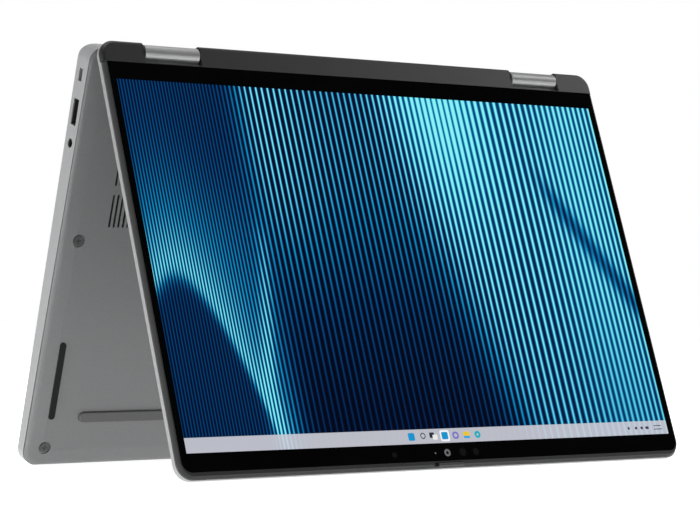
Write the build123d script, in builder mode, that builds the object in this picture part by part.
from build123d import *
import os
from math import asin, atan2, cos, degrees, hypot, radians, sin

os.makedirs("parts", exist_ok=True)

# A 14-inch laptop whose lid turns right round on two-axis hinges, standing as a tent.
# Millimetres, +Z up from the floor.  +X runs to the right of a person facing the screen,
# and the screen faces -Y.  The origin is on the floor under the middle of the tent.

# ---------------------------------------------------------------- driving dimensions
width = 312.9
corner_radius = 8.0
edge_break = 0.4

lid_length = 221.8
lid_thickness = 6.4
lid_end = 4.7                   # hinge edge of the lid beyond the lid's hinge axis
lid_axis_depth = 3.4            # hinge axis behind the front of the glass
lid_edge_round = 2.0            # rounding of the lid's back edge
lid_wall = 2.05
lid_skin = 1.0
frame_depth = 2.4               # depth of the rubber frame behind the glass front

glass_width = 308.8
glass_foot_margin = 3.1
glass_top = 210.2               # hinge-side edge of the glass, from the foot of the lid
glass_thickness = 0.9
glass_corner = 5.4
picture_width = 301.6
picture_height = 188.5
picture_foot_margin = 12.35

base_reach = 214.4              # hinge axis of the base to its front edge
base_end = 4.4                  # rear edge of the base beyond its hinge axis
base_end_round = 5.2
base_front_thickness = 9.6
base_rear_thickness = 13.0
band_front = 5.75               # height of the side band, deck to seam, at the front
band_rear = 11.5
seam_gap = 0.9
deck_thickness = 1.3
case_wall = 1.8
cover_thickness = 1.0
cover_roll = 10.0               # width of the bottom cover's rolled edge

closed_gap = 0.9                # deck to glass when the lid is shut
axis_spacing = 11.4
tent_angle = 37.3               # between the deck and the glass, standing as a tent
floor_contact = (0.06, 6.44)    # where the rolled front edge stands: y from the front, depth

barrel_width = 31.0
barrel_centre = 116.0
barrel_lid_radius = 4.2
barrel_base_radius = 5.2
barrel_wall = 0.9
notch_gap = 0.8                 # between a barrel's end and its notch
shaft_radius = 1.25
running_gap = 0.04
gear_teeth = 12

key_pitch = 19.05
key_row_pitch = 18.6
key_gap = 2.05
key_hole_gap = 0.3
key_travel = 1.3
key_thickness = 1.5
key_proud = 0.2
key_side_draft = 6
function_key_depth = 9.2
keyboard_front = 84.0           # front edge of the key field, from the front of the base
keyboard_recess = 0.5
keys_across = 15

touchpad_width = 115.0
touchpad_depth = 67.0
touchpad_front = 8.5
pad_gap = 0.3

# ---------------------------------------------------------------- the tent and its planes
base_length = base_reach + base_end
lid_reach = lid_length - lid_end
base_axis_depth = axis_spacing - closed_gap - lid_axis_depth
tent = radians(tent_angle)
hinge_turn = radians(180 - tent_angle / 2)

# Side view from the lid's hinge axis: u runs up the lid, w runs out of the glass.
base_axis_u = axis_spacing * sin(hinge_turn)
base_axis_w = axis_spacing * cos(hinge_turn)
contact_reach = base_reach - floor_contact[0]
contact_rise = base_axis_depth - floor_contact[1]
base_foot_u = base_axis_u - contact_reach * cos(tent) + contact_rise * sin(tent)
base_foot_w = base_axis_w - contact_reach * sin(tent) - contact_rise * cos(tent)
lid_foot_u = lid_edge_round - lid_reach
lid_foot_w = lid_edge_round + lid_axis_depth - lid_thickness

# The floor touches the lid's rounded foot and the base's front edge.
span_u = base_foot_u - lid_foot_u
span_w = base_foot_w - lid_foot_w
lid_tilt = atan2(span_u, -span_w) + asin(lid_edge_round / hypot(span_u, span_w))
base_tilt = tent - lid_tilt

lid_up = Vector(0, sin(lid_tilt), cos(lid_tilt))
lid_out = Vector(0, -cos(lid_tilt), sin(lid_tilt))
base_up = Vector(0, -sin(base_tilt), cos(base_tilt))
base_out = Vector(0, cos(base_tilt), sin(base_tilt))

frame_lean = 1.4                # how far the frame's front edge stands back from the lid's foot
front_reach = (lid_up * (frame_lean - lid_reach) + lid_out * lid_axis_depth).Y
base_axis_from_lid = lid_up * base_axis_u + lid_out * base_axis_w
rear_reach = (base_axis_from_lid - base_up * base_reach + base_out * base_axis_depth).Y
lid_foot_drop = (lid_up * lid_foot_u + lid_out * lid_foot_w).Z - lid_edge_round
lid_axis = Vector(0, -(front_reach + rear_reach) / 2, -lid_foot_drop)
base_axis = lid_axis + base_axis_from_lid

# Lid plane: x right, y up from the foot edge, z out of the glass.
lid_glass = Plane(
    origin=lid_axis - lid_up * lid_reach + lid_out * lid_axis_depth,
    x_dir=(1, 0, 0),
    z_dir=lid_out,
)
# Base plane: x to the typist's right, y from the front edge to the hinge, z out of the deck.
base_deck = Plane(
    origin=base_axis - base_up * base_reach + base_out * base_axis_depth,
    x_dir=(-1, 0, 0),
    z_dir=base_out,
)
# Side view of the base: x from front to hinge, y out of the deck.
base_side = Plane(origin=base_deck.origin, x_dir=base_up, z_dir=(-1, 0, 0))


def base_slice(front_depth, rear_depth):
    """Plane under the deck, at one depth at the front edge and another at the hinge axis."""
    slope = degrees(atan2(rear_depth - front_depth, base_reach))
    return base_deck.offset(-front_depth).rotated((slope, 0, 0))


def floor_depth(y):
    """Depth of the bottom cover's outside under the deck, at y from the front edge."""
    return base_front_thickness + (base_rear_thickness - base_front_thickness) * y / base_reach


seam_plane = base_slice(band_front, band_rear)
bottom_plane = base_slice(base_front_thickness, base_rear_thickness)
sides = (-1, 1)

# ---------------------------------------------------------------- keyboard layout
# Each row lists key widths in key units from left to right.
number_row = [1] * 13
upper_row = [1.5] + [1] * 12 + [1.5]
home_row = [1.75] + [1] * 11
lower_row = [1] * 10
space_row_left = [1.25, 1, 1, 1.25]
space_width = 5
backspace_width = 2
enter_width = 2.25
left_shift_width = 2.25
right_shift_width = 2.75
function_keys_across = 15
power_key_width = 1

field_width = keys_across * key_pitch
field_left = -field_width / 2
field_rear = keyboard_front + 5 * key_row_pitch + function_key_depth + key_gap / 2


def row_centre(row):
    """Middle of key row number row, counted from the space bar's row."""
    return keyboard_front + (row + 0.5) * key_row_pitch


function_row_centre = keyboard_front + 5 * key_row_pitch + function_key_depth / 2


def row_keys(start, widths, row):
    """Place and size of each key in a row: centre x, centre y, width, depth."""
    keys = []
    left = field_left + start * key_pitch
    for units in widths:
        across = units * key_pitch
        keys.append((left + across / 2, row_centre(row), across - key_gap, key_row_pitch - key_gap))
        left += units * key_pitch
    return keys


def function_row_keys(start, count):
    """Half-height keys of the rear row, starting after start keys."""
    step = field_width / (function_keys_across + power_key_width)
    depth = function_key_depth - key_gap
    centres = [field_left + (start + k + 0.5) * step for k in range(count)]
    return [(x, function_row_centre, step - key_gap, depth) for x in centres]


half_key_depth = (key_row_pitch - key_gap) / 2 - 0.4
arrow_start = keys_across - 3
arrow_x = field_left + (arrow_start + 1.5) * key_pitch
arrow_offset = (key_row_pitch - key_gap) / 4 + 0.2
key_groups = {
    "function_keys": function_row_keys(0, function_keys_across),
    "power_button": function_row_keys(function_keys_across, 1),
    "number_keys": row_keys(0, number_row, 4),
    "backspace_key": row_keys(13, [backspace_width], 4),
    "upper_letter_keys": row_keys(0, upper_row, 3),
    "home_letter_keys": row_keys(0, home_row, 2),
    "enter_key": row_keys(12.75, [enter_width], 2),
    "left_shift_key": row_keys(0, [left_shift_width], 1),
    "lower_letter_keys": row_keys(2.25, lower_row, 1),
    "right_shift_key": row_keys(12.25, [right_shift_width], 1),
    "control_keys": row_keys(0, space_row_left, 0) + row_keys(9.5, [1.25, 1.25], 0),
    "space_bar": row_keys(4.5, [space_width], 0),
    "left_arrow_key": row_keys(arrow_start, [1], 0),
    "up_arrow_key": [(arrow_x, row_centre(0) + arrow_offset, key_pitch - key_gap, half_key_depth)],
    "down_arrow_key": [(arrow_x, row_centre(0) - arrow_offset, key_pitch - key_gap, half_key_depth)],
    "right_arrow_key": row_keys(arrow_start + 2, [1], 0),
}
all_keys = [key for group in key_groups.values() for key in group]

# ---------------------------------------------------------------- base: outer case
notch_width = barrel_width + 2 * notch_gap
notch_depth = barrel_base_radius + 0.5
notch_front = base_reach - notch_depth
pocket_wall = 1.5
cover_bosses = [(side * 146.4, y) for side in sides for y in (10.3, 120.3)] + [(-45, 205), (45, 205)]
boss_radius = 2.4
screw_radius = 1.0

lock_slot_y = 203.0
usb_a_y = 184.3
jack_y = 168.5
port_depth = 5.3                # port centres below the deck
jack_radius = 1.8
usb_a_opening = (13.2, 5.1)
usb_c_opening = (9.0, 3.2)
usb_c_places = (196.0, 180.0)
hdmi_y = 160.0
hdmi_opening = (15.0, 5.2)
lock_opening = (6.4, 3.2)
port_clearance = 0.15

side_wall_plane = base_side.offset(width / 2)
other_side_plane = base_side.offset(-width / 2)
side_cut = case_wall + 1.0

# Each shaft rests in two knuckles just outside its barrel's pocket.
knuckle_width = 4.0
knuckle_gap = 0.3
knuckle_depth = 3.8             # top of the base's knuckles under the deck
knuckle_start = notch_width / 2 + pocket_wall + knuckle_gap
shaft_half_length = knuckle_start + knuckle_width
knuckle_offset = knuckle_start + knuckle_width / 2
knuckle_places = [side * barrel_centre + end * knuckle_offset for side in sides for end in sides]


def hinge_pockets(clear, start):
    """Rectangles over the two barrels, grown by clear on each side, from start to the rear."""
    for side in sides:
        with Locations((side * barrel_centre, (start + base_length + 5) / 2)):
            Rectangle(notch_width + 2 * clear, base_length + 5 - start)


with BuildPart() as top_case:
    with BuildSketch(base_deck):
        with Locations((0, base_length / 2)):
            RectangleRounded(width, base_length, corner_radius)
    extrude(amount=-base_rear_thickness)
    # The rear edge is rounded about the hinge so that the lid can roll over it.
    with BuildSketch(base_side):
        with BuildLine():
            Polyline(
                (base_length - base_end_round, 0),
                (edge_break, 0),
                (0, -edge_break),
                (0, -base_rear_thickness - 1),
                (base_length, -base_rear_thickness - 1),
                (base_length, -base_end_round),
            )
            RadiusArc((base_length, -base_end_round), (base_length - base_end_round, 0), -base_end_round)
        make_face()
    extrude(amount=width, both=True, mode=Mode.INTERSECT)
    # Hollow inside, open below, with a pocket wall left round each hinge barrel.
    with BuildSketch(base_deck.offset(-deck_thickness)):
        with Locations((0, (base_length - case_wall) / 2)):
            RectangleRounded(width - 2 * case_wall, base_length - 3 * case_wall, corner_radius - case_wall)
        for side in sides:
            with Locations((side * barrel_centre, base_length)):
                Rectangle(
                    notch_width + 2 * pocket_wall,
                    2 * (base_length - notch_front + pocket_wall),
                    mode=Mode.SUBTRACT,
                )
    extrude(amount=-base_rear_thickness, mode=Mode.SUBTRACT)
    with BuildSketch(base_deck):
        hinge_pockets(0, notch_front)
    extrude(amount=-base_rear_thickness, mode=Mode.SUBTRACT)
    # Posts that the cover's screws bite into.
    with BuildSketch(base_deck.offset(-deck_thickness)):
        with Locations(*cover_bosses):
            Circle(boss_radius)
    extrude(amount=-base_rear_thickness)
    with BuildSketch(base_deck.offset(-3 * deck_thickness)):
        with Locations(*cover_bosses):
            Circle(screw_radius)
    extrude(amount=-base_rear_thickness, mode=Mode.SUBTRACT)
    # Key field, touchpad opening and speaker slots in the deck.
    with BuildSketch(base_deck):
        with Locations((0, (keyboard_front + field_rear) / 2)):
            RectangleRounded(field_width + 1.6, field_rear - keyboard_front + 1.6, 2)
    extrude(amount=-keyboard_recess, mode=Mode.SUBTRACT)
    with BuildSketch(base_deck):
        for x, y, w, d in all_keys:
            with Locations((x, y)):
                RectangleRounded(w + 2 * key_hole_gap, d + 2 * key_hole_gap, 1.6)
        with Locations((0, touchpad_front + touchpad_depth / 2)):
            RectangleRounded(touchpad_width + 2 * pad_gap, touchpad_depth + 2 * pad_gap, 3)
    extrude(amount=-2 * deck_thickness, mode=Mode.SUBTRACT)
    # Port openings, right side of the typist first.
    with BuildSketch(side_wall_plane):
        with Locations((usb_a_y, -port_depth)):
            RectangleRounded(*usb_a_opening, 0.4)
        with Locations((lock_slot_y, -port_depth)):
            RectangleRounded(*lock_opening, 0.5)
        with Locations((jack_y, -port_depth)):
            Circle(jack_radius + 0.5)
    extrude(amount=-side_cut, mode=Mode.SUBTRACT)
    with BuildSketch(other_side_plane):
        for y in usb_c_places:
            with Locations((y, -port_depth)):
                SlotOverall(*usb_c_opening)
        with Locations((hdmi_y, -port_depth)):
            Trapezoid(hdmi_opening[0], hdmi_opening[1], 70)
    extrude(amount=side_cut, mode=Mode.SUBTRACT)
    # Warm air leaves between the hinges.
    exhaust_length = 150.0
    exhaust_height = 4.0
    exhaust_depth = 8.0
    with BuildSketch(base_side.offset(-exhaust_length / 2)):
        with Locations((base_length, -exhaust_depth)):
            Rectangle(8 * case_wall, exhaust_height)
    extrude(amount=exhaust_length, mode=Mode.SUBTRACT)
    # Shaft holes through the pocket walls.
    for side in sides:
        with BuildSketch(base_side.offset(side * barrel_centre)):
            with Locations((base_reach, -base_axis_depth)):
                Circle(shaft_radius + 0.35)
        extrude(amount=shaft_half_length + 0.4, both=True, mode=Mode.SUBTRACT)
    # Room in the rear wall for the knuckles that hold the shafts.
    with BuildSketch(base_deck.offset(-knuckle_depth + 0.2)):
        for x in knuckle_places:
            with Locations((x, base_reach - 1.5)):
                Rectangle(knuckle_width + 2 * knuckle_gap, 8.0)
    extrude(amount=-base_rear_thickness, mode=Mode.SUBTRACT)
    split(bisect_by=seam_plane, keep=Keep.TOP)
top_case.part.label = "top_case"
export_step(top_case.part, "parts/top_case.step")


def cover_slice(share, lift=0):
    """Plane a given share of the way from the seam to the bottom, raised by lift."""
    front = band_front + seam_gap + share * (base_front_thickness - band_front - seam_gap)
    rear = band_rear + seam_gap + share * (base_rear_thickness - band_rear - seam_gap)
    return base_slice(front - lift, rear - lift)


roll_angles = (0, 25, 50, 70, 90)


def rolled_sections(inset, lift, start_lift):
    """Outlines that follow a quarter ellipse from the seam down to the flat bottom."""
    outlines = []
    for angle in roll_angles:
        share = sin(radians(angle))
        shrink = inset + (cover_roll - inset) * (1 - cos(radians(angle)))
        raised = lift if angle else start_lift
        with BuildSketch(cover_slice(share, raised)) as outline:
            with Locations((0, base_length / 2)):
                RectangleRounded(width - 2 * shrink, base_length - 2 * shrink, corner_radius)
        outlines.append(outline.sketch)
    return outlines


vent_pitch = 2.65
vent_slot = (17.0, 1.3)
vent_right = 130.6
vent_rows = (136.1, 157.8)
vents_across = 26
screw_head_radius = 2.6
screw_head_height = 0.8
screw_recess_radius = 3.4
foot_recess = 0.4
side_foot_size = (3.4, 41.0)
side_foot_x = 145.6
side_foot_y = 46.2
front_foot_size = (259.4, 5.4)
front_foot_y = 26.5
rear_foot_size = (190.0, 5.4)
rear_foot_y = 196.5
foot_height = 1.5


def long_feet(clear):
    """Outlines of the front and rear rubber bars, grown by clear all round."""
    for size, y in ((front_foot_size, front_foot_y), (rear_foot_size, rear_foot_y)):
        with Locations((0, y)):
            SlotOverall(size[0] + 2 * clear, size[1] + 2 * clear)


def short_feet(clear):
    """Outlines of the two short side feet, grown by clear all round."""
    for side in sides:
        with Locations((side * side_foot_x, side_foot_y)):
            SlotOverall(side_foot_size[1] + 2 * clear, side_foot_size[0] + 2 * clear, rotation=90)


with BuildPart() as bottom_cover:
    loft(sections=rolled_sections(0, 0, 0))
    loft(sections=rolled_sections(case_wall, cover_thickness, cover_thickness + 1), mode=Mode.SUBTRACT)
    with BuildSketch(base_deck):
        hinge_pockets(0, notch_front)
    extrude(amount=-2 * base_rear_thickness, mode=Mode.SUBTRACT)
    # Shallow seats that the rubber feet are glued into.
    with BuildSketch(bottom_plane.offset(foot_recess)):
        long_feet(0.1)
        short_feet(0.1)
    extrude(amount=-2 * cover_thickness, mode=Mode.SUBTRACT)
    # Intake slots under the fan.
    with BuildSketch(bottom_plane):
        for y in vent_rows:
            with Locations((vent_right - (vents_across - 1) * vent_pitch / 2, y)):
                with GridLocations(vent_pitch, 1, vents_across, 1):
                    SlotOverall(*vent_slot, rotation=90)
    extrude(amount=2 * cover_thickness, both=True, mode=Mode.SUBTRACT)
    # Recesses for the screw heads and clearance holes for their shanks.
    for x, y in cover_bosses:
        with BuildSketch(base_deck.offset(screw_head_height - floor_depth(y))):
            with Locations((x, y)):
                Circle(screw_recess_radius)
        extrude(amount=-2 * cover_thickness, mode=Mode.SUBTRACT)
        with BuildSketch(base_deck.offset(-floor_depth(y) - 1)):
            with Locations((x, y)):
                Circle(screw_radius + 0.2)
        extrude(amount=4 * cover_thickness, mode=Mode.SUBTRACT)
bottom_cover.part.label = "bottom_cover"
export_step(bottom_cover.part, "parts/bottom_cover.step")

with BuildPart() as bottom_screws:
    for x, y in cover_bosses:
        with BuildSketch(base_deck.offset(screw_head_height - floor_depth(y))):
            with Locations((x, y)):
                Circle(screw_head_radius)
        extrude(amount=-screw_head_height + 0.2)
        with BuildSketch(base_deck.offset(screw_head_height - floor_depth(y))):
            with Locations((x, y)):
                Circle(screw_radius - 0.02)
        extrude(amount=floor_depth(y) - screw_head_height - 3 * deck_thickness - 0.3)
        # Crossed driver slot in the head.
        with BuildSketch(base_deck.offset(0.2 - floor_depth(y))):
            with Locations((x, y)):
                Rectangle(2.6, 0.6)
                Rectangle(0.6, 2.6)
        extrude(amount=0.45, mode=Mode.SUBTRACT)
bottom_screws.part.label = "bottom_screws"
export_step(bottom_screws.part, "parts/bottom_screws.step")

with BuildPart() as front_foot:
    with BuildSketch(bottom_plane.offset(foot_recess)):
        with Locations((0, front_foot_y)):
            SlotOverall(*front_foot_size)
    extrude(amount=-foot_height - foot_recess)
    fillet(front_foot.faces().sort_by(Axis(base_deck.origin, -base_out))[-1].edges(), 0.6)
front_foot.part.label = "front_foot"
export_step(front_foot.part, "parts/front_foot.step")

with BuildPart() as rear_foot:
    with BuildSketch(bottom_plane.offset(foot_recess)):
        with Locations((0, rear_foot_y)):
            SlotOverall(*rear_foot_size)
    extrude(amount=-foot_height - foot_recess)
    fillet(rear_foot.faces().sort_by(Axis(base_deck.origin, -base_out))[-1].edges(), 0.6)
rear_foot.part.label = "rear_foot"
export_step(rear_foot.part, "parts/rear_foot.step")

with BuildPart() as side_feet:
    with BuildSketch(bottom_plane.offset(foot_recess)):
        short_feet(0)
    extrude(amount=-foot_height / 2 - foot_recess)
side_feet.part.label = "side_feet"
export_step(side_feet.part, "parts/side_feet.step")

# ---------------------------------------------------------------- base: keyboard and touchpad
tray_top = key_thickness - key_proud + key_travel + 0.3
tray_thickness = 1.0
with BuildPart() as keyboard_tray:
    with BuildSketch(base_deck.offset(-tray_top)):
        with Locations((0, (keyboard_front + field_rear) / 2)):
            RectangleRounded(field_width, field_rear - keyboard_front + 4, 2)
    extrude(amount=-tray_thickness)
    # Rubber dome seats pressed up under every key.
    with BuildSketch(base_deck.offset(-tray_top)):
        for x, y, w, d in all_keys:
            with Locations((x, y)):
                Circle(1.6)
    extrude(amount=0.2)
    # Threaded stand-offs that hang the tray from the deck.
    with BuildSketch(base_deck.offset(-tray_top)):
        for y in (keyboard_front - 1.4, field_rear + 1.4):
            with Locations((0, y)):
                with GridLocations(0.3 * field_width, 1, 4, 1):
                    Rectangle(6, 1.2)
    extrude(amount=tray_top - deck_thickness)
keyboard_tray.part.label = "keyboard_tray"
export_step(keyboard_tray.part, "parts/keyboard_tray.step")

for key_name, keys in key_groups.items():
    with BuildPart() as key_caps:
        with BuildSketch(base_deck.offset(key_proud - key_thickness)):
            for x, y, w, d in keys:
                with Locations((x, y)):
                    RectangleRounded(w, d, 1.4)
        extrude(amount=key_thickness, taper=key_side_draft)
    key_caps.part.label = key_name
    export_step(key_caps.part, "parts/" + key_name + ".step")

pad_thickness = 1.7
with BuildPart() as touchpad:
    with BuildSketch(base_deck.offset(-0.1)):
        with Locations((0, touchpad_front + touchpad_depth / 2)):
            RectangleRounded(touchpad_width, touchpad_depth, 2.7)
    extrude(amount=-pad_thickness)
touchpad.part.label = "touchpad"
export_step(touchpad.part, "parts/touchpad.step")

pad_frame_top = pad_thickness + 1.0
with BuildPart() as touchpad_frame:
    with BuildSketch(base_deck.offset(-pad_frame_top)):
        with Locations((0, touchpad_front + touchpad_depth / 2)):
            RectangleRounded(touchpad_width + 10, touchpad_depth + 4, 3)
            RectangleRounded(touchpad_width - 14, touchpad_depth - 14, 3, mode=Mode.SUBTRACT)
    extrude(amount=-0.5)
    # Click switch under the middle of the front edge, and two screwed ears up to the deck.
    with BuildSketch(base_deck.offset(-pad_frame_top)):
        with Locations((0, touchpad_front + 3)):
            Circle(1.5)
    extrude(amount=0.3)
    with BuildSketch(base_deck.offset(-pad_frame_top)):
        for side in sides:
            with Locations((side * (touchpad_width / 2 + 3.5), touchpad_front + touchpad_depth / 2)):
                Rectangle(2.4, touchpad_depth / 2)
    extrude(amount=pad_frame_top - deck_thickness)
touchpad_frame.part.label = "touchpad_frame"
export_step(touchpad_frame.part, "parts/touchpad_frame.step")

# ---------------------------------------------------------------- base: electronics


def slab(x, y, top, length, depth, height):
    """A plain block under the deck: centre x, centre y, depth of its top, and its size."""
    with Locations((x, y, -top)):
        Box(length, depth, height, align=(Align.CENTER, Align.CENTER, Align.MAX))


with BuildPart(base_deck) as battery_pack:
    for k in range(3):
        slab((k - 1) * 84.0, 52.0, 4.6, 82.0, 80.0, 3.6)
    slab(0, 96.0, 4.8, 240.0, 8.0, 2.0)
battery_pack.part.label = "battery_pack"
export_step(battery_pack.part, "parts/battery_pack.step")

board_top = 5.6
board_thickness = 1.0
with BuildPart(base_deck) as main_board:
    slab(-51, 152, board_top, 184.0, 82.0, board_thickness)
    # Processor, memory chips and power stages on the underside.
    slab(0, 160, board_top + board_thickness, 34.0, 24.0, 1.0)
    for k in range(4):
        slab(-36, 140 + 11.0 * k, board_top + board_thickness, 14.0, 9.0, 1.0)
    for k in range(6):
        slab(-68 + 9.0 * k, 187, board_top + board_thickness, 7.0, 7.0, 1.6)
main_board.part.label = "main_board"
export_step(main_board.part, "parts/main_board.step")

with BuildPart(base_deck) as io_board:
    slab(139, 168, port_depth + 2.7, 16.0, 46.0, board_thickness)
io_board.part.label = "io_board"
export_step(io_board.part, "parts/io_board.step")

fan_x = 96.0
fan_y = 147.0
fan_top = 4.9
fan_height = 5.2
fan_radius = 27.0
impeller_radius = 24.0
hub_radius = 9.0
blade_count = 29
blade_length = 20.0
blade_sweep = 24
with BuildPart() as fan_housing:
    with BuildSketch(base_deck.offset(-fan_top)):
        with Locations((fan_x, fan_y)):
            Circle(fan_radius + 2)
        with Locations((fan_x, fan_y + fan_radius / 2 + 5)):
            Rectangle(2 * fan_radius + 4, fan_radius + 10)
    extrude(amount=-fan_height)
    with BuildSketch(base_deck.offset(-fan_top - 0.6)):
        with Locations((fan_x, fan_y)):
            Circle(fan_radius)
        with Locations((fan_x, fan_y + fan_radius / 2 + 6)):
            Rectangle(2 * fan_radius, fan_radius + 12)
    extrude(amount=-fan_height + 1.2, mode=Mode.SUBTRACT)
    # Intake hole in the lower plate and the motor post.
    with BuildSketch(base_deck.offset(-fan_top - 1)):
        with Locations((fan_x, fan_y)):
            Circle(impeller_radius - 5)
    extrude(amount=-fan_height, mode=Mode.SUBTRACT)
    with BuildSketch(base_deck.offset(-fan_top - 0.5)):
        with Locations((fan_x, fan_y)):
            Circle(1.0)
    extrude(amount=-2.6)
fan_housing.part.label = "fan_housing"
export_step(fan_housing.part, "parts/fan_housing.step")

with BuildPart() as fan_impeller:
    with BuildSketch(base_deck.offset(-fan_top - 0.95)):
        with Locations((fan_x, fan_y)):
            Circle(hub_radius)
    extrude(amount=-3.4)
    with BuildSketch(base_deck.offset(-fan_top - 0.95)):
        with Locations((fan_x, fan_y)):
            with PolarLocations((hub_radius + impeller_radius) / 2, blade_count):
                Rectangle(blade_length, 0.7, rotation=blade_sweep)
    extrude(amount=-3.0)
    with BuildSketch(base_deck.offset(-fan_top - 0.95)):
        with Locations((fan_x, fan_y)):
            Circle(1.0 + running_gap)
    extrude(amount=-2.4, mode=Mode.SUBTRACT)
fan_impeller.part.label = "fan_impeller"
export_step(fan_impeller.part, "parts/fan_impeller.step")

fins_y = 192.0
fins_depth = 10.0
fin_count = 30
with BuildPart(base_deck) as cooling_fins:
    slab(fan_x - 22, fins_y, fan_top + 0.2, 62.0, fins_depth, 0.5)
    with Locations((fan_x - 22, fins_y, -fan_top - 0.7)):
        with GridLocations(2.1, 1, fin_count, 1):
            Box(0.4, fins_depth, 1.8, align=(Align.CENTER, Align.CENTER, Align.MAX))
cooling_fins.part.label = "cooling_fins"
export_step(cooling_fins.part, "parts/cooling_fins.step")

with BuildPart() as heat_pipe:
    with BuildSketch(base_deck.offset(-board_top - 2 * board_thickness)):
        with BuildLine():
            FilletPolyline((0, 160), (38, 170), (62, 192), (104, 192), radius=14)
        trace(line_width=7.0)
    extrude(amount=-1.6)
heat_pipe.part.label = "heat_pipe"
export_step(heat_pipe.part, "parts/heat_pipe.step")

card_top = board_top + board_thickness + 1.5
with BuildPart(base_deck) as ssd_module:
    slab(-105, 136, card_top, 80.0, 22.0, 1.0)
    slab(-105, 136, card_top + 1.0, 60.0, 18.0, 0.8)
    slab(-67, 136, board_top + board_thickness, 4.0, 20.0, 1.5)
ssd_module.part.label = "ssd_module"
export_step(ssd_module.part, "parts/ssd_module.step")

with BuildPart(base_deck) as wireless_card:
    slab(-120, 172, card_top, 30.0, 22.0, 1.0)
    slab(-117, 172, card_top + 1.0, 18.0, 16.0, 1.2)
    slab(-134, 172, board_top + board_thickness, 3.0, 20.0, 1.5)
wireless_card.part.label = "wireless_card"
export_step(wireless_card.part, "parts/wireless_card.step")

with BuildPart(base_deck) as speakers:
    for side in sides:
        slab(side * 145, 88, 4.6, 11.0, 44.0, 4.2)
speakers.part.label = "speakers"
export_step(speakers.part, "parts/speakers.step")

# ---------------------------------------------------------------- base: sockets in the sides
port_face_inset = 0.4

with BuildPart() as usb_a_port:
    outer = (usb_a_opening[0] - 2 * port_clearance, usb_a_opening[1] - 2 * port_clearance)
    with BuildSketch(side_wall_plane.offset(-port_face_inset)):
        with Locations((usb_a_y, -port_depth)):
            RectangleRounded(*outer, 0.3)
    extrude(amount=-13.0)
    with BuildSketch(side_wall_plane.offset(-port_face_inset)):
        with Locations((usb_a_y, -port_depth)):
            Rectangle(outer[0] - 0.7, outer[1] - 0.7)
    extrude(amount=-11.5, mode=Mode.SUBTRACT)
    with BuildSketch(side_wall_plane.offset(-port_face_inset - 2.0)):
        with Locations((usb_a_y, -port_depth + 0.9)):
            Rectangle(11.0, 1.6)
    extrude(amount=-9.8)
usb_a_port.part.label = "usb_a_port"
export_step(usb_a_port.part, "parts/usb_a_port.step")

with BuildPart() as audio_jack:
    with BuildSketch(side_wall_plane.offset(-port_face_inset)):
        with Locations((jack_y, -port_depth)):
            Circle(jack_radius + 0.4)
    extrude(amount=-3.0)
    with BuildSketch(side_wall_plane.offset(-3.0)):
        with Locations((jack_y, -port_depth)):
            Rectangle(6.4, 4.8)
    extrude(amount=-10.0)
    with BuildSketch(side_wall_plane):
        with Locations((jack_y, -port_depth)):
            Circle(jack_radius)
    extrude(amount=-12.4, mode=Mode.SUBTRACT)
audio_jack.part.label = "audio_jack"
export_step(audio_jack.part, "parts/audio_jack.step")

with BuildPart() as usb_c_ports:
    for y in usb_c_places:
        with BuildSketch(other_side_plane.offset(port_face_inset)):
            with Locations((y, -port_depth)):
                SlotOverall(usb_c_opening[0] - 0.2, usb_c_opening[1] - 0.2)
        extrude(amount=8.0)
        with BuildSketch(other_side_plane.offset(port_face_inset)):
            with Locations((y, -port_depth)):
                SlotOverall(usb_c_opening[0] - 0.7, usb_c_opening[1] - 0.7)
        extrude(amount=7.0, mode=Mode.SUBTRACT)
        with BuildSketch(other_side_plane.offset(port_face_inset + 1.0)):
            with Locations((y, -port_depth)):
                Rectangle(6.7, 0.7)
        extrude(amount=6.2)
usb_c_ports.part.label = "usb_c_ports"
export_step(usb_c_ports.part, "parts/usb_c_ports.step")

with BuildPart() as hdmi_port:
    with BuildSketch(other_side_plane.offset(port_face_inset)):
        with Locations((hdmi_y, -port_depth)):
            Trapezoid(hdmi_opening[0] - 0.4, hdmi_opening[1] - 0.3, 70)
    extrude(amount=12.0)
    with BuildSketch(other_side_plane.offset(port_face_inset)):
        with Locations((hdmi_y, -port_depth)):
            Trapezoid(hdmi_opening[0] - 1.4, hdmi_opening[1] - 1.1, 70)
    extrude(amount=10.5, mode=Mode.SUBTRACT)
    with BuildSketch(other_side_plane.offset(port_face_inset + 1.5)):
        with Locations((hdmi_y, -port_depth + 0.2)):
            Rectangle(10.0, 0.9)
    extrude(amount=9.5)
hdmi_port.part.label = "hdmi_port"
export_step(hdmi_port.part, "parts/hdmi_port.step")

with BuildPart() as lock_plate:
    with BuildSketch(side_wall_plane.offset(-case_wall)):
        with Locations((lock_slot_y, -port_depth)):
            Rectangle(10.0, 6.4)
            RectangleRounded(lock_opening[0] + 0.2, lock_opening[1] + 0.2, 0.5, mode=Mode.SUBTRACT)
    extrude(amount=-1.2)
lock_plate.part.label = "lock_plate"
export_step(lock_plate.part, "parts/lock_plate.step")

with BuildPart() as exhaust_grille:
    grille_front = base_length - 2 * case_wall - 0.4
    with BuildSketch(base_deck.offset(-exhaust_depth + exhaust_height / 2 - 0.1)):
        with Locations((0, grille_front + 1.5)):
            Rectangle(exhaust_length - 0.2, 3.0)
    extrude(amount=-exhaust_height + 0.2)
    with BuildSketch(base_deck.offset(-exhaust_depth + exhaust_height / 2 - 0.7)):
        with Locations((0, grille_front + 1.5)):
            with GridLocations(3.0, 1, 48, 1):
                Rectangle(2.0, 6.0)
    extrude(amount=-exhaust_height + 1.4, mode=Mode.SUBTRACT)
exhaust_grille.part.label = "exhaust_grille"
export_step(exhaust_grille.part, "parts/exhaust_grille.step")

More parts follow.
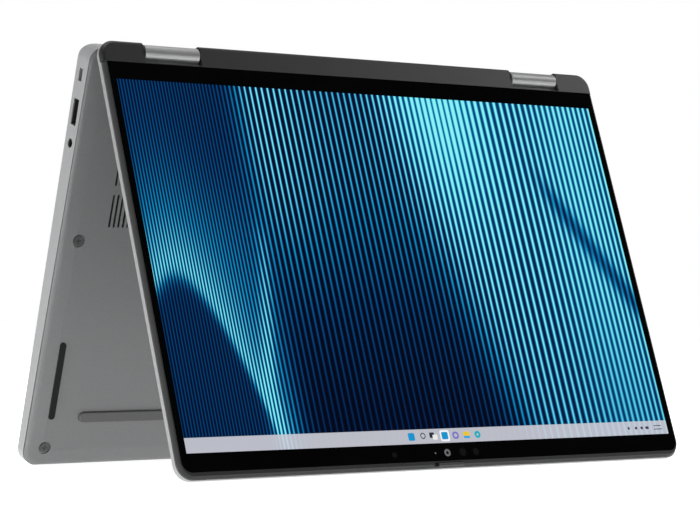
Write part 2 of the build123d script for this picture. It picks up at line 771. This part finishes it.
# ---------------------------------------------------------------- hinges
# The lid turns on one shaft and the base on another.  Four equal pinions in each barrel
# make both turns equal, so the lid passes all the way round to the underside.
gear_module = axis_spacing / (3 * gear_teeth)
gear_pitch_radius = gear_module * gear_teeth / 2
gear_root_radius = gear_pitch_radius - 1.25 * gear_module
gear_tip_radius = gear_pitch_radius + 0.8 * gear_module
gear_width = 3.0
idler_pin_radius = 0.8
plate_thickness = 2.0
barrel_line = degrees(atan2(base_axis_from_lid.Z, base_axis_from_lid.Y))
half_tooth = 180 / gear_teeth


def axle_point(third):
    """Side-view point on the line from the lid's axis to the base's, counted in thirds."""
    point = lid_axis + base_axis_from_lid * (third / 3)
    return (point.Y, point.Z)


def barrel_outline(shrink):
    """Two circles about the axes, joined by their common tangents."""
    with Locations(axle_point(0)):
        Circle(barrel_lid_radius - shrink)
    with Locations(axle_point(3)):
        Circle(barrel_base_radius - shrink)
    make_hull()


with BuildPart() as hinge_barrels:
    for side in sides:
        with BuildSketch(Plane.YZ.offset(side * barrel_centre - barrel_width / 2)):
            barrel_outline(0)
        extrude(amount=barrel_width)
        with BuildSketch(Plane.YZ.offset(side * barrel_centre - barrel_width / 2)):
            barrel_outline(barrel_wall)
        extrude(amount=barrel_width, mode=Mode.SUBTRACT)
hinge_barrels.part.label = "hinge_barrels"
export_step(hinge_barrels.part, "parts/hinge_barrels.step")

with BuildPart() as barrel_end_plates:
    for side in sides:
        for end in sides:
            start = side * barrel_centre + end * (barrel_width - plate_thickness) / 2 - plate_thickness / 2
            with BuildSketch(Plane.YZ.offset(start)):
                barrel_outline(barrel_wall + 0.02)
                for third in (0, 3):
                    with Locations(axle_point(third)):
                        Circle(shaft_radius + running_gap, mode=Mode.SUBTRACT)
            extrude(amount=plate_thickness)
        with BuildSketch(Plane.YZ.offset(side * barrel_centre - barrel_width / 2)):
            for third in (1, 2):
                with Locations(axle_point(third)):
                    Circle(idler_pin_radius)
        extrude(amount=barrel_width)
barrel_end_plates.part.label = "barrel_end_plates"
export_step(barrel_end_plates.part, "parts/barrel_end_plates.step")


def pinion_profile(bore, turn):
    """Straight-flanked pinion with a hole, turned so that one tooth points at turn degrees."""
    Circle(gear_root_radius)
    tooth_root = gear_root_radius - 0.1
    with PolarLocations(0, gear_teeth, start_angle=turn):
        Polygon(
            (tooth_root, -0.3 * gear_module * 3),
            (gear_tip_radius, -0.11 * gear_module * 3),
            (gear_tip_radius, 0.11 * gear_module * 3),
            (tooth_root, 0.3 * gear_module * 3),
            align=None,
        )
    Circle(bore, mode=Mode.SUBTRACT)


pinions = {
    "lid_gears": (0, shaft_radius, 0),
    "lid_side_idlers": (1, idler_pin_radius + running_gap, half_tooth),
    "base_side_idlers": (2, idler_pin_radius + running_gap, 0),
    "base_gears": (3, shaft_radius, half_tooth),
}
for gear_name, (third, bore, phase) in pinions.items():
    axle_y, axle_z = axle_point(third)
    with BuildPart() as pinion_pair:
        for side in sides:
            gear_start = side * barrel_centre - gear_width / 2
            with BuildSketch(Plane(origin=(gear_start, axle_y, axle_z), x_dir=(0, 1, 0), z_dir=(1, 0, 0))):
                pinion_profile(bore, barrel_line + phase)
            extrude(amount=gear_width)
    pinion_pair.part.label = gear_name
    export_step(pinion_pair.part, "parts/" + gear_name + ".step")

for shaft_name, third in (("lid_shafts", 0), ("base_shafts", 3)):
    with BuildPart() as shaft_pair:
        for side in sides:
            with BuildSketch(Plane.YZ.offset(side * barrel_centre - shaft_half_length)):
                with Locations(axle_point(third)):
                    Circle(shaft_radius)
            extrude(amount=2 * shaft_half_length)
    shaft_pair.part.label = shaft_name
    export_step(shaft_pair.part, "parts/" + shaft_name + ".step")

leaf_thickness = 1.3
with BuildPart(base_deck) as base_hinge_brackets:
    for side in sides:
        leaf_y = notch_front - pocket_wall - 8.0
        slab(side * barrel_centre, leaf_y, deck_thickness + 1.2, 2 * shaft_half_length, 14.0, leaf_thickness)
    for x in knuckle_places:
        slab(x, leaf_y, deck_thickness, knuckle_width, 10.0, 1.2)
        slab(x, leaf_y + 7.0, deck_thickness + 1.2, knuckle_width, 10.0, leaf_thickness)
        slab(x, base_reach - 1.4, knuckle_depth, knuckle_width, 7.0, 5.4)
    for side in sides:
        with Locations((side * barrel_centre, base_reach, -base_axis_depth)):
            Cylinder(shaft_radius, 4 * shaft_half_length, rotation=(0, 90, 0), mode=Mode.SUBTRACT)
base_hinge_brackets.part.label = "base_hinge_brackets"
export_step(base_hinge_brackets.part, "parts/base_hinge_brackets.step")

# ---------------------------------------------------------------- lid
strip_depth = 3.2
strip_gap = 0.1
strip_skin = 1.1
lid_notch_front = 210.6
lid_middle = (0, lid_length / 2)


def lid_pockets(clear, start):
    """Rectangles over the two barrels in the lid, grown by clear on each side."""
    for side in sides:
        with Locations((side * barrel_centre, (start + lid_length + 5) / 2)):
            Rectangle(notch_width + 2 * clear, lid_length + 5 - start)


mic_x = 26.0
mic_hole_radius = 0.45
with BuildPart() as lid_cover:
    with BuildSketch(lid_glass.offset(-lid_thickness)):
        with Locations(lid_middle):
            RectangleRounded(width, lid_length, corner_radius)
    extrude(amount=lid_thickness - frame_depth)
    back_face = lid_cover.faces().sort_by(Axis(lid_glass.origin, lid_out))[0]
    fillet(back_face.edges(), lid_edge_round)
    # Hollow for the display, with solid blocks left round the barrel pockets.
    with BuildSketch(lid_glass.offset(lid_skin - lid_thickness)):
        with Locations(lid_middle):
            RectangleRounded(width - 2 * lid_wall, lid_length - 2 * lid_wall, corner_radius - lid_wall)
        for side in sides:
            with Locations((side * barrel_centre, lid_length)):
                Rectangle(
                    notch_width + 2 * pocket_wall,
                    2 * (lid_length - lid_notch_front + pocket_wall),
                    mode=Mode.SUBTRACT,
                )
    extrude(amount=lid_thickness, mode=Mode.SUBTRACT)
    # The plastic strip takes the front half of the hinge end.
    with BuildSketch(lid_glass.offset(-strip_depth)):
        with Locations((0, lid_length)):
            Rectangle(width + 2, 2 * (lid_length - glass_top))
    extrude(amount=lid_thickness, mode=Mode.SUBTRACT)
    with BuildSketch(lid_glass):
        lid_pockets(0, lid_notch_front)
    extrude(amount=-2 * lid_thickness, mode=Mode.SUBTRACT)
    for side in sides:
        with BuildSketch(Plane.YZ.offset(side * barrel_centre)):
            with Locations(axle_point(0)):
                Circle(shaft_radius + 0.35)
        extrude(amount=notch_width / 2 + 2 * pocket_wall, both=True, mode=Mode.SUBTRACT)
    # Microphone holes in the foot edge.
    for side in sides:
        with Locations(lid_glass):
            with Locations((side * mic_x, lid_wall / 2, -4.0)):
                Cylinder(mic_hole_radius, 3 * lid_wall, rotation=(90, 0, 0), mode=Mode.SUBTRACT)
lid_cover.part.label = "lid_cover"
export_step(lid_cover.part, "parts/lid_cover.step")

frame_inset = 0.5
frame_taper = 20.5
slot_left = -9.2
slot_right = 9.1
slot_depth = 1.5
slot_far = 2.6
lip_thickness = 0.8
with BuildPart() as lid_frame:
    with BuildSketch(lid_glass.offset(-frame_depth)):
        with Locations(lid_middle):
            RectangleRounded(width - 2 * frame_inset, lid_length - 2 * frame_inset, corner_radius)
    extrude(amount=frame_depth, taper=frame_taper)
    with BuildSketch(lid_glass.offset(-frame_depth)):
        with Locations((0, (glass_foot_margin + lid_length + 10) / 2)):
            RectangleRounded(glass_width + 0.1, lid_length + 10 - glass_foot_margin, glass_corner)
    extrude(amount=2 * frame_depth, mode=Mode.SUBTRACT)
    with BuildSketch(lid_glass.offset(-frame_depth)):
        with Locations((0, lid_length)):
            Rectangle(width + 2, 2 * (lid_length - glass_top))
    extrude(amount=2 * frame_depth, mode=Mode.SUBTRACT)
    # Slot in the foot edge for the camera shutter's tab.
    with BuildSketch(lid_glass.offset(-slot_depth)):
        with Locations(((slot_left + slot_right) / 2, slot_far / 2)):
            Rectangle(slot_right - slot_left, slot_far)
    extrude(amount=2 * slot_depth, mode=Mode.SUBTRACT)
    # The slot runs on under the lip that meets the glass, for the shutter's blade.
    with BuildSketch(lid_glass.offset(-slot_depth)):
        with Locations(((slot_left + slot_right) / 2, glass_foot_margin / 2)):
            Rectangle(slot_right - slot_left, glass_foot_margin + 0.2)
    extrude(amount=slot_depth - lip_thickness, mode=Mode.SUBTRACT)
lid_frame.part.label = "lid_frame"
export_step(lid_frame.part, "parts/lid_frame.step")

with BuildPart() as hinge_strip:
    with BuildSketch(lid_glass):
        with Locations(lid_middle):
            RectangleRounded(width, lid_length, corner_radius)
        with Locations((0, (glass_top + strip_gap) / 2)):
            Rectangle(width + 2, glass_top + strip_gap, mode=Mode.SUBTRACT)
    extrude(amount=-strip_depth)
    front_face = hinge_strip.faces().sort_by(Axis(lid_glass.origin, lid_out))[-1]
    rim = front_face.edges().sort_by(Axis(lid_glass.origin, lid_up))[1:]
    fillet(rim, lid_edge_round)
    with BuildSketch(lid_glass.offset(-strip_skin)):
        with Locations((0, (glass_top + lid_length) / 2)):
            Rectangle(width - 8, lid_length - glass_top - 4)
        for side in sides:
            with Locations((side * barrel_centre, lid_length)):
                Rectangle(
                    notch_width + 2 * pocket_wall,
                    2 * (lid_length - lid_notch_front + pocket_wall),
                    mode=Mode.SUBTRACT,
                )
    extrude(amount=-strip_depth, mode=Mode.SUBTRACT)
    with BuildSketch(lid_glass):
        lid_pockets(0, lid_notch_front)
    extrude(amount=-2 * strip_depth, mode=Mode.SUBTRACT)
    for side in sides:
        with BuildSketch(Plane.YZ.offset(side * barrel_centre)):
            with Locations(axle_point(0)):
                Circle(shaft_radius + 0.35)
        extrude(amount=notch_width / 2 + 2 * pocket_wall, both=True, mode=Mode.SUBTRACT)
hinge_strip.part.label = "hinge_strip"
export_step(hinge_strip.part, "parts/hinge_strip.step")

with BuildPart() as screen_glass:
    with BuildSketch(lid_glass):
        with Locations((0, (glass_foot_margin + glass_top) / 2)):
            RectangleRounded(glass_width, glass_top - glass_foot_margin, glass_corner)
        with Locations((0, glass_top - 10)):
            Rectangle(glass_width, 20)
    extrude(amount=-glass_thickness)
screen_glass.part.label = "screen_glass"
export_step(screen_glass.part, "parts/screen_glass.step")

panel_thickness = 2.3
with BuildPart() as lcd_panel:
    with BuildSketch(lid_glass.offset(-glass_thickness)):
        with Locations((0, picture_foot_margin + picture_height / 2)):
            Rectangle(picture_width, picture_height + 1)
    extrude(amount=-panel_thickness)
lcd_panel.part.label = "lcd_panel"
export_step(lcd_panel.part, "parts/lcd_panel.step")

lens_y = 7.3
lens_places = {-32.7: 1.2, -7.5: 0.8, 0.0: 2.0, 9.6: 1.7, 18.1: 1.7}
shutter_gap = 0.35
with BuildPart() as camera_module:
    with BuildSketch(lid_glass.offset(-3.4)):
        with Locations((-7.5, 7.5)):
            Rectangle(70, 5.6)
    extrude(amount=0.8)
    with BuildSketch(lid_glass.offset(-2.6)):
        for x, r in lens_places.items():
            with Locations((x, lens_y)):
                Circle(r)
    extrude(amount=2.6 - glass_thickness - 2 * shutter_gap)
camera_module.part.label = "camera_module"
export_step(camera_module.part, "parts/camera_module.step")

tab_left = -6.5
tab_right = 8.9
shutter_travel = 2.5
with BuildPart() as camera_shutter:
    with BuildSketch(lid_glass.offset(0.1 - slot_depth)):
        with Locations(((tab_left + tab_right) / 2, 1.45)):
            Rectangle(tab_right - tab_left, 1.5)
    extrude(amount=slot_depth + 0.15)
    fillet(camera_shutter.faces().sort_by(Axis(lid_glass.origin, lid_out))[-1].edges(), 0.25)
    # Thin blade under the glass that covers the lens when the tab is slid left.
    with BuildSketch(lid_glass.offset(-glass_thickness - 0.3)):
        with Locations((2.9, 5.2)):
            Rectangle(3.4, 7.0)
    extrude(amount=0.2)
camera_shutter.part.label = "camera_shutter"
export_step(camera_shutter.part, "parts/camera_shutter.step")

with BuildPart() as microphones:
    with BuildSketch(lid_glass.offset(-5.2)):
        for side in sides:
            with Locations((side * mic_x, lid_wall + 1.5)):
                Rectangle(4.0, 2.8)
    extrude(amount=1.6)
microphones.part.label = "microphones"
export_step(microphones.part, "parts/microphones.step")

with BuildPart() as antennas:
    with BuildSketch(lid_glass.offset(-strip_skin)):
        for side in sides:
            with Locations((side * 52, (glass_top + lid_length) / 2)):
                Rectangle(60, 6)
    extrude(amount=-0.6)
antennas.part.label = "antennas"
export_step(antennas.part, "parts/antennas.step")

leaf_depth = lid_thickness - lid_skin
with BuildPart(lid_glass) as lid_hinge_brackets:
    for side in sides:
        slab(side * barrel_centre, 200.5, leaf_depth - 0.9, 2 * shaft_half_length, 16.0, 0.9)
    for x in knuckle_places:
        slab(x, 212.0, leaf_depth - 0.9, knuckle_width, 14.0, 0.9)
        slab(x, lid_reach - 0.6, strip_skin + 0.1, knuckle_width, 5.6, leaf_depth - strip_skin - 0.1)
    for side in sides:
        with Locations((side * barrel_centre, lid_reach, -lid_axis_depth)):
            Cylinder(shaft_radius, 4 * shaft_half_length, rotation=(0, 90, 0), mode=Mode.SUBTRACT)
lid_hinge_brackets.part.label = "lid_hinge_brackets"
export_step(lid_hinge_brackets.part, "parts/lid_hinge_brackets.step")

print("lid tilt", round(degrees(lid_tilt), 3), "base tilt", round(degrees(base_tilt), 3))
print("lid axis", lid_axis, "base axis", base_axis)
